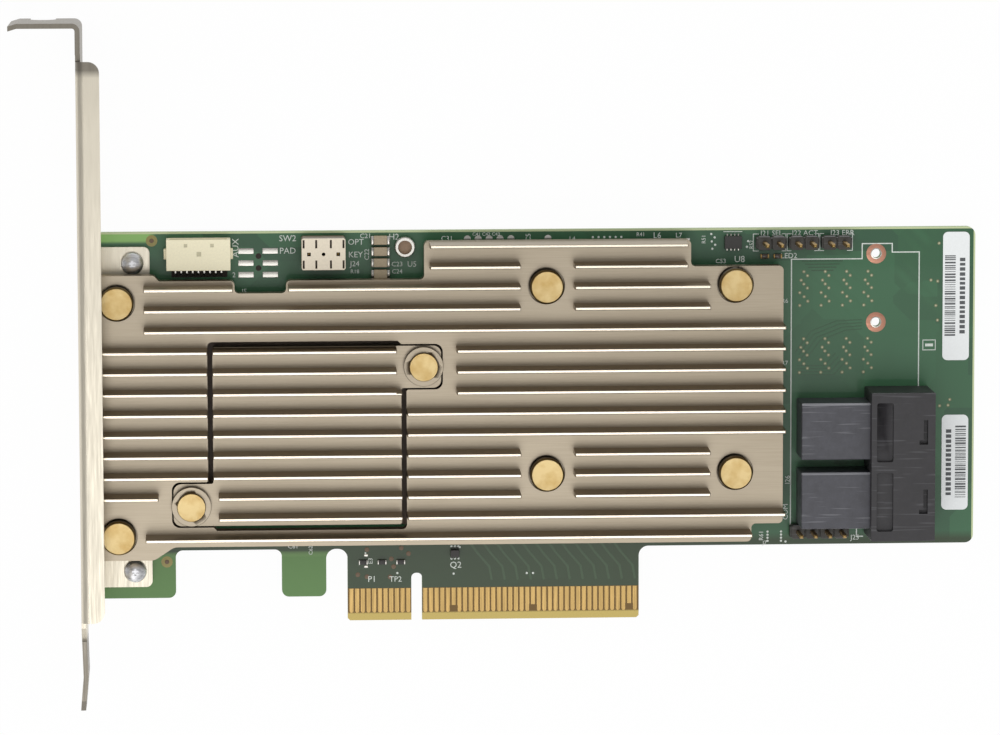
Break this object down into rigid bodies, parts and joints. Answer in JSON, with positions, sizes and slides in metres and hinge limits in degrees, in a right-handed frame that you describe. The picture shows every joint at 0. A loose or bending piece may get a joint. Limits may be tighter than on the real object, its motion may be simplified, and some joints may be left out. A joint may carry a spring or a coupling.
{
  "type": "raid controller card",
  "caption": "Storage controller card with a finned heatsink pair, sprung push pins, a double side-entry data connector and a full-height bracket.",
  "frame": {"origin": "middle of the key notch at the lower edge of the edge fingers, on the component face of the board", "axes": "+X along the card, away from the bracket; +Y up from the edge fingers; +Z out of the component side"},
  "size_m": [0.1685, 0.12, 0.0184],
  "materials": {
    "board": "satin green solder mask",
    "gold": "gold-plated",
    "bracket": "satin nickel-plated",
    "screw": "polished",
    "heatsink": "satin champagne",
    "pin": "satin",
    "spring": "plain",
    "black_plastic": "moulded",
    "white_plastic": "moulded",
    "beige_plastic": "moulded",
    "chip_plastic": "moulded",
    "lid": "satin",
    "thermal_pad": "matt",
    "ceramic": "satin",
    "solder": "bright",
    "lamp": "clear",
    "label": "satin"
  },
  "bodies": {
    "root": {"backup_power_contacts": "solder", "backup_power_socket": "white_plastic", "bracket": "bracket", "bracket_nuts": "screw", "bracket_screws": "screw", "bulk_capacitor_ends": "solder", "bulk_capacitors": "ceramic", "circuit_board": "board", "console_header_body": "black_plastic", "console_header_pins": "gold", "controller_chip": "chip_plastic", "controller_heatsink": "heatsink", "controller_heatsink_pins": "pin", "controller_heatsink_springs": "spring", "controller_lid": "lid", "controller_thermal_pad": "thermal_pad", "data_port_carriers": "black_plastic", "data_port_contacts": "gold", "data_port_housing": "black_plastic", "edge_contacts": "gold", "edge_resistor_ends": "solder", "edge_resistors": "chip_plastic", "jumper_header_bodies": "black_plastic", "jumper_header_pins": "gold", "key_header_body": "beige_plastic", "key_header_pins": "gold", "logic_chip": "chip_plastic", "logic_chip_leads": "solder", "lower_label": "label", "main_heatsink": "heatsink", "main_heatsink_pins": "pin", "main_heatsink_springs": "spring", "memory_chips": "chip_plastic", "memory_thermal_pads": "thermal_pad", "power_inductors": "chip_plastic", "power_thermal_pads": "thermal_pad", "solder_side_capacitor_ends": "solder", "solder_side_capacitors": "ceramic", "spacer_nut": "solder", "status_led_ends": "solder", "status_leds": "lamp", "transistor": "chip_plastic", "upper_label": "label"}
  },
  "joints": []
}
